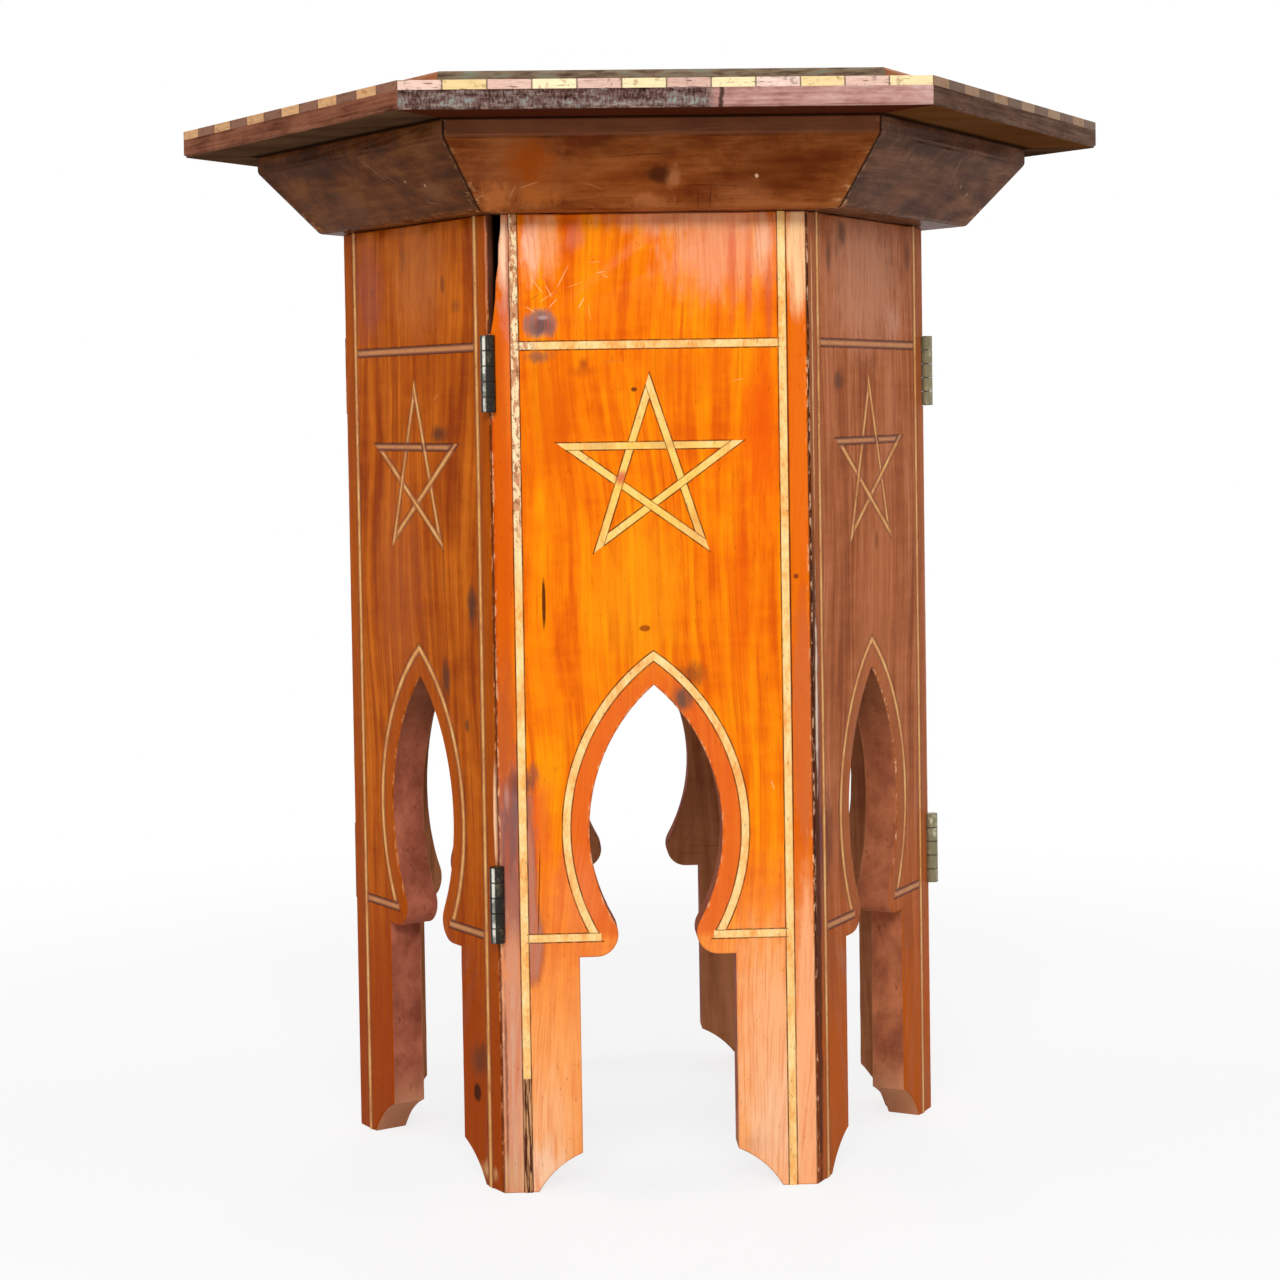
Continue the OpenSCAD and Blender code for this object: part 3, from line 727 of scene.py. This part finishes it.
def inlay_finish(name, side, bright, clean, dirty, wear, polish, covered, seed):
    """Pale inlaid wood with darker pores, polish over its edges and a few broken places."""
    finish = Finish(name)
    across, upward, _, moved = board_readings(finish, side, seed)
    arch = arch_distance(finish, across, upward)
    fibre = finish.cloud(moved, (1.2, 3.5, 1.2), 3.0, 0.65)
    patch = finish.cloud(moved, (9, 22, 9), 3.0, 0.6)
    left = across.fade(-50, -62) * upward.fade(290, 350)
    pits = finish.cloud(moved, (1.8, 3.4, 1.8), 3.0, 0.65)
    pits = pits.fade(0.62 - left * wear * 0.09, 0.70 - left * wear * 0.06)
    wood = finish.ramp(patch * 0.6 + fibre * 0.4, (0.38, dirty), (0.50, clean), (0.64, bright))
    if side:
        bar = upward.away_from(STAR_Z + STAR_LINE_AT).fade(2.3, 1.9) * across.away_from(0).fade(50, 48)
        top_string = upward.away_from(TOP_STRING_Z).fade(3, 2)
        low_string = upward.away_from(LOW_STRING_Z).fade(3, 2)
        between = across.away_from(0).fade(UPRIGHT_X - 2, UPRIGHT_X - 3)
        level = top_string.most(low_string).most(bar) * between
        wood = finish.mix(level * 0.75, wood, (176, 108, 66))
    else:
        wood = stains_and_sheen(finish, wood, moved, STAR_STAINS)
        gone = across.fade(-50, -60) * upward.fade(58, 57)
        loss = left * finish.cloud(moved, (2.4, 7, 2.4), 3.0, 0.6).fade(0.49, 0.55)
        wood = finish.mix(left * 0.5, wood, (255, 240, 206))
        wood = finish.mix(loss * 0.75, wood, (188, 104, 62))
        splinter = finish.cloud(moved, (0.9, 20, 0.9), 2.0, 0.6)
        stump = finish.mix(splinter.fade(0.46, 0.56), (74, 38, 20), (206, 150, 104))
        wood = finish.mix(gone, wood, stump)
    from_edge = strip_edge(finish, across, upward, arch)
    lines = from_edge.fade(0.6 + covered, 0.2 + covered)
    wood = finish.mix(lines * 0.8, wood, polish)
    if side:
        wood = finish.mix(level * from_edge.fade(0.9, 0.5) * 0.8, wood, (84, 32, 14))
    wood = finish.mix(pits * (0.30 + left * 0.5), wood, (150, 84, 44))
    height = fibre * 0.12 - pits * 0.3 - lines * 0.2
    return finish.surface(wood, 0.42 + pits * 0.3, height, sheen=0.08, coat=0.08, coat_rough=0.15)


for side, name in enumerate(PANELS):
    looks = ((255, 226, 160), (254, 202, 126), (246, 164, 84), 1.0, (120, 52, 14), -0.2)
    if name != "front":
        looks = ((240, 186, 112), (226, 156, 80), (196, 118, 56), 0.5, (146, 78, 36), 0.75)
    pale_wood = inlay_finish("inlay_" + name, side, *looks, side + 21)
    dress(nodes["stringing_" + name], pale_wood)
    dress(nodes["star_" + name], pale_wood)

# The butt hinges are pressed iron with a brass wash, let into the mitres so that only the knuckles show.
# They have gone nearly black, yellower at the right corner, and their high spots are rubbed bright.
# A painted highlight runs down the outer side of each barrel, and painted shade darkens the gaps between
# knuckles.
# Slotted iron screws hold each leaf.

CORNERS = ["front_right", "right", "rear_right", "rear_left", "left", "front_left"]
KNUCKLE = 7.6


def metal_finish(name, dark, bright, shine, outer):
    """Aged metal: dark tarnish with rubbed bright patches, and a painted highlight down the line of a
    barrel that stands out most.
    """
    finish = Finish(name)
    spot = finish.millimetres()
    facing = finish.node("ShaderNodeTexCoord", {}, (), "Normal")
    outward = finish.vector("MULTIPLY", finish.vector("ADD", spot, (BASE_LEFT, 0, 0)), (1, 1, 0))
    outward = finish.vector("NORMALIZE", outward)
    upward = finish.vector("DOT_PRODUCT", spot, (0, 0, 1))
    patch = finish.cloud(spot, (5, 5, 8), 4.0, 0.65)
    speck = finish.cloud(spot, (0.8, 0.8, 1.1), 3.0, 0.6)
    rubbed = (patch * 0.7 + speck * 0.3).fade(0.52, 0.66)
    from_middle = upward.away_from(HINGE_Z[0]).least(upward.away_from(HINGE_Z[1])) / KNUCKLE + 0.5
    seam = (from_middle - from_middle.floor()).away_from(0.5).fade(0.42, 0.48)
    metal = finish.mix(rubbed * 0.6, dark, bright)
    metal = finish.mix(speck.fade(0.60, 0.72) * 0.4, metal, (96, 54, 30))
    # Painted highlight: a pale stripe down the outward side of each barrel, drawn in the colour.
    painted_highlight = finish.vector("DOT_PRODUCT", facing, outward).fade(0.955, 0.995)
    painted_highlight = painted_highlight * (0.25 + patch.fade(0.38, 0.52) * 0.75) * (1 - seam * 0.6) * outer
    metal = finish.mix(painted_highlight, metal, (224, 220, 204))
    # Painted shade in the gaps between the knuckles.
    metal = finish.mix(seam * outer * 0.5, metal, (14, 11, 8))
    height = speck * 0.10 + patch * 0.25
    bare = (0.55 + rubbed * 0.4) * (1 - painted_highlight)
    return finish.surface(metal, shine + 0.25 - rubbed * 0.2, height, relief=0.8, metal=bare)


black_iron = metal_finish("black_iron", (34, 29, 23), (120, 110, 88), 0.30, 1.0)
rubbed_brass = metal_finish("rubbed_brass", (92, 70, 40), (196, 164, 104), 0.28, 0.0)
screw_iron = metal_finish("screw_iron", (58, 50, 42), (146, 136, 120), 0.34, 0.0)
worn_brass = metal_finish("worn_brass", (128, 120, 92), (232, 224, 190), 0.36, 1.0)
for corner in CORNERS:
    iron = worn_brass if corner == "right" else black_iron
    dress(nodes["hinge_leaf_a_" + corner], iron)
    dress(nodes["hinge_leaf_b_" + corner], iron)
    dress(nodes["hinge_pin_" + corner], rubbed_brass)
for name in PANELS:
    dress(nodes["hinge_screws_" + name], screw_iron)

# The apron is six leaning boards of the same wood, mitred at the corners and stained nearly brown.
# Small raw blocks are glued behind it, where they stiffen the joint with the top.

APRON_FOOT = 487.3
APRON_LIP = 520.7
APRON_HEAD = 529.4
APRON_OUT = 152.53
APRON_SHARP = 0.3


def apron_finish(name, side, deep, body, glow, bare_lip, marks, scratches, seed):
    """Brown polished board that leans out, with the grain along it and glue by its mitres."""
    finish = Finish(name)
    across, upward, depth, moved = board_readings(finish, side, seed, 0)
    drift = finish.cloud(moved, (160, 50, 50), 1.0)
    grain_place = finish.vector("ADD", moved, finish.place(0, (drift - 0.5) * 24, 0))
    streak = finish.cloud(grain_place, (90, 4.5, 4.5), 5.0, 0.65)
    mottle = finish.cloud(moved, (32, 14, 14), 4.0, 0.6)
    fibre = finish.cloud(grain_place, (22, 0.9, 0.9), 3.0, 0.6)
    figure = streak * 0.32 + mottle * 0.68
    wood = finish.ramp(figure, (0.39, deep), (0.50, body), (0.60, glow))
    wood = finish.mix(fibre.fade(0.50, 0.32) * 0.35, wood, deep)
    wood = stains_and_sheen(finish, wood, moved, marks)
    wood = scratched(finish, wood, scratches)
    lip = upward.fade(APRON_LIP - 0.4, APRON_LIP + 0.4)
    wood = finish.mix(lip * bare_lip, wood, (122, 78, 58))
    blotch = finish.cloud(moved, (5, 3.5, 5), 4.0, 0.65)
    from_mitre = ((FACE_OUT - depth) * math.tan(TURN / 2) - across.away_from(0)) * math.cos(TURN / 2)
    low_down = upward.fade(APRON_FOOT + 22, APRON_FOOT + 4)
    glue = from_mitre.fade(3.0 + low_down * 5, 0.5) * blotch.fade(0.50, 0.62)
    wood = finish.mix(glue * (0.35 + low_down * 0.4), wood, (196, 140, 92))
    worn = upward.fade(APRON_FOOT + 3.5, APRON_FOOT + 0.5) * blotch.fade(0.50, 0.62)
    wood = finish.mix(worn * 0.45, wood, (150, 92, 54))
    # Painted shade: a dark line in each mitre joint, and a shadow line along the top of the lip under the
    # top board.
    dark = from_mitre.fade(1.1, 0.3).most(upward.fade(APRON_HEAD - 1.2, APRON_HEAD - 0.5))
    wood = finish.mix(dark * 0.85, wood, (30, 16, 10))
    height = fibre * 0.08 + streak * 0.20 + mottle * 0.45 + glue * 0.4
    roughness = 0.36 + (mottle - 0.5) * 0.3
    return finish.surface(wood, roughness, height, sheen=0.01, coat=0.03, coat_rough=0.12)


def apron_arris(side):
    """Picks the outer edges of one apron board: the lower one and those of the lip."""
    outward = Vector((math.sin(side * TURN), -math.cos(side * TURN), 0))

    def is_arris(edge):
        if len(edge.link_faces) != 2 or edge.calc_face_angle() < APRON_SHARP:
            return False
        heights = [vert.co.z for vert in edge.verts]
        level = abs(heights[0] - heights[1]) < PLANED * MM
        outside = min(vert.co.dot(outward) for vert in edge.verts) > (APRON_OUT - 1) * MM
        return level and outside and heights[0] < (APRON_HEAD - 1) * MM

    return is_arris


# Marks on the front apron board: the orange patches left of the middle are painted reflection of the orange
# panel below; the rest are stains, glue and scuffs.
FRONT_APRON_MARKS = [
    ((150, 88, 52), -70, 506, 26, 18, 0.5, 1.0),
    ((148, 68, 10), -64, 509, 12, 12, 0.85, 1.0),
    ((140, 66, 20), -20, 500, 40, 12, 0.3, 1.0),
    ((62, 32, 18), 0, 503, 8, 4, 0.8, 1.5),
    ((176, 112, 72), 6, 502, 3.5, 5, 0.7, 1.4),
    ((184, 108, 58), -80, 493, 9, 7, 0.7, 1.5),
    ((176, 98, 44), -60, 494, 12, 5, 0.6, 1.5),
    ((178, 108, 64), -6, 491, 10, 4, 0.6, 1.5),
    ((160, 96, 60), 40, 494, 16, 6, 0.4, 1.6),
    ((92, 42, 12), 58, 507, 34, 12, 0.5, 1.0),
]
FRONT_APRON_SCRATCHES = [
    ((186, 128, 84), -64, 499, 6, 0.4, 18, 0.6),
    ((186, 128, 84), -72, 496, 4, 0.4, 60, 0.7),
    ((176, 120, 78), -32, 498, 5, 0.3, -20, 0.5),
    ((60, 30, 16), -10, 512, 20, 0.3, 3, 0.6),
    ((60, 30, 16), 26, 498, 16, 0.3, -2, 0.5),
    ((230, 190, 150), 46, 502, 1.0, 1.2, 40, 0.8),
    ((66, 34, 20), 18, 492, 0.4, 5, 4, 0.6),
    ((66, 34, 20), 24, 493, 0.4, 6, -3, 0.6),
]
SIDE_APRON_MARKS = [
    ((54, 31, 18), -40, 520, 60, 7, 0.65, 1.2),
    ((60, 34, 20), 36, 500, 8, 3, 0.5, 1.4),
    ((134, 88, 58), 60, 498, 14, 5, 0.4, 1.4),
    ((122, 78, 52), -30, 498, 18, 8, 0.4, 1.4),
]
SIDE_APRON_SCRATCHES = [
    ((158, 112, 82), 18, 512, 9, 0.35, -48, 0.7),
    ((150, 104, 74), 28, 507, 6, 0.3, -30, 0.6),
    ((206, 168, 140), 40, 505, 0.8, 0.6, 60, 0.8),
    ((206, 168, 140), 56, 502, 1.0, 0.7, 80, 0.8),
    ((150, 104, 74), 50, 494, 5, 0.4, -12, 0.6),
    ((150, 104, 74), -60, 500, 4, 0.3, -40, 0.5),
]
for side, name in enumerate(PANELS):
    looks = [(104, 50, 22), (132, 72, 34), (154, 90, 48), 0.6, FRONT_APRON_MARKS, FRONT_APRON_SCRATCHES]
    if name in ("right_front", "right_rear"):
        looks = [(74, 45, 30), (99, 64, 45), (122, 84, 62), 0.15, SIDE_APRON_MARKS, SIDE_APRON_SCRATCHES]
    elif name != "front":
        looks = [(74, 40, 16), (98, 54, 24), (118, 71, 36), 0.0, SIDE_APRON_MARKS, SIDE_APRON_SCRATCHES]
    stain = apron_finish("polished_apron_" + name, side, *looks, side + 41)
    board_mesh = nodes["apron_" + name].data
    apron = eased_copy(board_mesh, "worn_apron_" + name, apron_arris(side), 1.3 * MM, 0.7 * MM, stain)
    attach(apron, "top")
    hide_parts("apron_" + name)

raw = Finish("raw_blocks")
raw_grain = raw.cloud(raw.millimetres(), (14, 14, 2.2), 4.0, 0.6)
raw_wood = raw.ramp(raw_grain, (0.3, (120, 82, 52)), (0.7, (186, 142, 98)))
dress(nodes["apron_glue_blocks"], raw.surface(raw_wood, 0.8, raw_grain * 0.4, relief=0.8, sheen=0.3))

# The top board is a hexagon of solid wood, planed flat, with a rebate for the banding. Its edge has
# weathered unevenly: nearly black on the left of the front, purple brown with a split on the right, and
# plain brown elsewhere.

TOP_FOOT = 529.45
TOP_HEAD = 543.25
TOP_CORNER_OUT = 240
LIP_OUT = 181.13


def rim_readings(finish):
    """A point's place, how far it is along the nearest side of the top, out and up, and the side."""
    spot = finish.millimetres()
    east = finish.vector("DOT_PRODUCT", spot, (1, 0, 0))
    north = finish.vector("DOT_PRODUCT", spot, (0, 1, 0))
    upward = finish.vector("DOT_PRODUCT", spot, (0, 0, 1))
    heading = north.maths("ARCTAN2", north, east)
    number = ((heading + (math.pi / 2 + TURN / 2)) / TURN).floor()
    angle = number * TURN
    cosine = angle.maths("COSINE", angle)
    sine = angle.maths("SINE", angle)
    along = east * cosine + north * sine
    out = east * sine - north * cosine
    return spot, along, out, upward, number


def side_is(number, wanted):
    """1 on one side of the top and 0 on the others. The front is side 0."""
    return number.maths("COMPARE", number, wanted, 0.4)


def top_board_finish():
    """Weathered wood at the edge, plain wood below and polished wood above."""
    finish = Finish("weathered_top")
    spot, along, out, upward, number = rim_readings(finish)
    rim_place = finish.place(along + number * 400, upward, out)
    streak = finish.cloud(rim_place, (60, 1.6, 6), 4.0, 0.65)
    blotch = finish.cloud(rim_place, (26, 9, 20), 4.0, 0.6)
    figure = streak * 0.5 + blotch * 0.5
    brown = finish.ramp(figure, (0.38, (84, 46, 32)), (0.50, (122, 74, 54)), (0.62, (144, 92, 70)))
    grey = finish.ramp(figure, (0.38, (70, 50, 40)), (0.50, (96, 70, 58)), (0.62, (116, 90, 76)))
    wood = finish.mix(side_is(number, 1).most(side_is(number, 2)), brown, grey)
    flake = finish.cloud(rim_place, (7, 2.6, 4), 6.0, 0.7)
    speck = finish.cloud(rim_place, (1.1, 3.2, 3), 3.0, 0.7)
    paler = upward.fade(TOP_FOOT + 9, TOP_FOOT + 3) * 0.05
    black = finish.ramp(
        flake * 0.45 + speck * 0.35 + blotch * 0.20 + paler,
        (0.40, (28, 20, 18)), (0.49, (84, 60, 54)), (0.56, (124, 100, 94)), (0.64, (142, 152, 146)),
    )
    purple = finish.ramp(
        streak * 0.3 + flake * 0.3 + blotch * 0.4,
        (0.38, (150, 100, 92)), (0.50, (188, 142, 132)), (0.62, (212, 176, 168)),
    )
    front = side_is(number, 0)
    wood = finish.mix(front, wood, finish.mix(along.fade(18, 24), black, purple))
    split = (along + (blotch - 0.5) * 6).away_from(25).fade(1.4, 0.4) * front
    wood = finish.mix(split * 0.85, wood, (40, 24, 18))
    below = finish.cloud(spot, (70, 30, 30), 4.0, 0.6)
    below = finish.ramp(below, (0.34, (62, 44, 32)), (0.66, (92, 70, 52)))
    below = finish.mix(side_is(number, 1) * 0.5, below, (110, 66, 28))
    below = finish.mix(front * 0.85, below, (70, 32, 18))
    # Painted shadow along the underside where it meets the apron's lip.
    below = finish.mix(out.fade(LIP_OUT + 7, LIP_OUT + 1) * 0.8, below, (20, 10, 7))
    under = upward.fade(TOP_FOOT + 0.6, TOP_FOOT + 0.1)
    wood = finish.mix(under, wood, below)
    rough_edge = upward.fade(TOP_FOOT + 3.4, TOP_FOOT + 1.2) * flake.fade(0.52, 0.62) * (1 - under)
    rough_edge = rough_edge * (0.25 + front * 0.75)
    wood = finish.mix(rough_edge * 0.5, wood, (176, 140, 116))
    polished = finish.cloud(finish.place(along + number * 400, 0, out), (70, 4, 5), 4.0, 0.6)
    polished = finish.ramp(polished, (0.36, (92, 48, 24)), (0.64, (138, 80, 44)))
    polished = finish.mix(blotch.fade(0.52, 0.66) * 0.4, polished, (78, 50, 34))
    upper = upward.fade(TOP_HEAD - 0.6, TOP_HEAD - 0.1)
    wood = finish.mix(upper, wood, polished)
    height = streak * 0.45 + flake * 0.7 * (1 - upper) - split * 0.6
    roughness = 0.5 + (blotch - 0.5) * 0.3
    return finish.surface(wood, roughness, height, sheen=0.0, coat=(1 - under) * 0.06, coat_rough=0.25)


def top_arris(edge):
    """The lower arrises of the top board and the upright ones at its corners."""
    heights = [vert.co.z for vert in edge.verts]
    if len(edge.link_faces) != 2 or edge.calc_face_angle() < SHARP:
        return False
    at_corner = min(vert.co.xy.length for vert in edge.verts) > TOP_CORNER_OUT * MM
    return max(heights) < (TOP_FOOT + 0.01) * MM or (at_corner and max(heights) - min(heights) > 0.01)


board_mesh = nodes["top_board"].data
top = eased_copy(board_mesh, "worn_top_board", top_arris, 1.3 * MM, 0.9 * MM, top_board_finish())
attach(top, "top")
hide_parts("top_board")

# The banding is a row of small blocks let into a rebate round the top's edge, pale and dark by turns,
# twelve to a side. Every block was cut from its own offcut, so no two have the same shade.

BLOCKS_A_SIDE = 12
SIDE_LONG = 248.87


def block_finish(name, shades, side_shade, right_side_shade, grime, seed):
    """End blocks of one wood, each with its own shade and grain, with painted shade making them darker and
    browner away from the front, darkest on the right sides.
    """
    finish = Finish(name)
    spot, along, out, upward, number = rim_readings(finish)
    place = (along + SIDE_LONG / 2) / (SIDE_LONG / BLOCKS_A_SIDE)
    block = place.floor() + number * BLOCKS_A_SIDE + seed
    chance = finish.node("ShaderNodeTexWhiteNoise", {"noise_dimensions": "1D"}, {"W": block})
    grain = finish.cloud(finish.place(along + chance * 90, upward, out), (7, 1.4, 3), 3.0, 0.6)
    shade = chance * 0.75 + (grain - 0.5) * 0.8 + 0.12
    wood = finish.ramp(shade, *zip((0.0, 0.5, 1.0), shades))
    # Painted shade: blocks on the sides take darker colours than those at the front, and the right sides
    # darker still.
    brown = finish.mix((grain - 0.5) * 1.2 + chance * 0.4, side_shade, grime)
    darker = finish.mix((grain - 0.5) * 1.2 + chance * 0.4, right_side_shade, grime)
    brown = finish.mix(side_is(number, 1).most(side_is(number, 2)), brown, darker)
    wood = finish.mix(side_is(number, 0), brown, wood)
    dirt = finish.cloud(spot, (3.5, 3.5, 3.5), 3.0, 0.6).fade(0.56, 0.68)
    crack = finish.cloud(finish.place(along, upward + chance * 40, out), (9, 0.9, 4), 3.0, 0.6)
    crack = crack.fade(0.62, 0.68)
    wood = finish.mix((dirt * 0.5).most(crack * 0.8), wood, grime)
    seam = (place - place.floor()).away_from(0.5).fade(0.47, 0.495)
    wood = finish.mix(seam * 0.7, wood, (70, 40, 24))
    height = grain * 0.2 - seam * 0.2 - crack * 0.2
    roughness = 0.45 + dirt * 0.2
    return finish.surface(wood, roughness, height, relief=0.8, sheen=0.1, coat=0.08, coat_rough=0.2)


PALE_SHADES = ((232, 198, 138), (245, 220, 168), (251, 233, 190))
DARK_SHADES = ((196, 152, 138), (230, 192, 174), (246, 222, 208))
pale_blocks = block_finish("pale_blocks", PALE_SHADES, (210, 158, 106), (150, 120, 90), (140, 92, 56), 3)
dark_blocks = block_finish("dark_blocks", DARK_SHADES, (132, 84, 58), (108, 80, 58), (92, 56, 40), 57)
dress(nodes["chequer_light"], pale_blocks)
dress(nodes["chequer_dark"], dark_blocks)

# The raised field is one thin polished board of the same wood, glued on the top. Its edge is bevelled,
# and has worn grey at the front.

FIELD_OUT = 184.53


def field_finish():
    """Glossy orange brown wood whose bevel has lost its polish, most of all at the front."""
    finish = Finish("polished_field")
    spot, along, out, upward, number = rim_readings(finish)
    drift = finish.cloud(spot, (220, 80, 80), 1.0)
    grain_place = finish.vector("ADD", spot, finish.place(0, (drift - 0.5) * 26, 0))
    streak = finish.cloud(grain_place, (260, 6, 6), 4.0, 0.6)
    mottle = finish.cloud(spot, (80, 46, 46), 3.0, 0.55)
    fibre = finish.cloud(grain_place, (34, 1.0, 1.0), 3.0, 0.6)
    figure = streak * 0.6 + mottle * 0.4
    wood = finish.ramp(figure, (0.34, (128, 58, 20)), (0.50, (180, 92, 34)), (0.66, (206, 120, 52)))
    wood = finish.mix(fibre.fade(0.50, 0.32) * 0.35, wood, (110, 52, 22))
    edge = out.fade(FIELD_OUT - 3.0, FIELD_OUT - 1.0)
    worn = finish.cloud(finish.place(along, upward, out), (12, 2.5, 5), 3.0, 0.6)
    worn = finish.ramp(worn, (0.36, (84, 66, 50)), (0.52, (132, 110, 88)), (0.68, (128, 132, 112)))
    wood = finish.mix(edge * (0.3 + side_is(number, 0) * 0.7), wood, worn)
    height = fibre * 0.08 + streak * 0.25 + mottle * 0.4
    roughness = 0.32 + (mottle - 0.5) * 0.3 + edge * 0.25
    return finish.surface(wood, roughness, height, sheen=0.15, coat=(1 - edge) * 0.25, coat_rough=0.12)


dress(nodes["top_field"], field_finish())
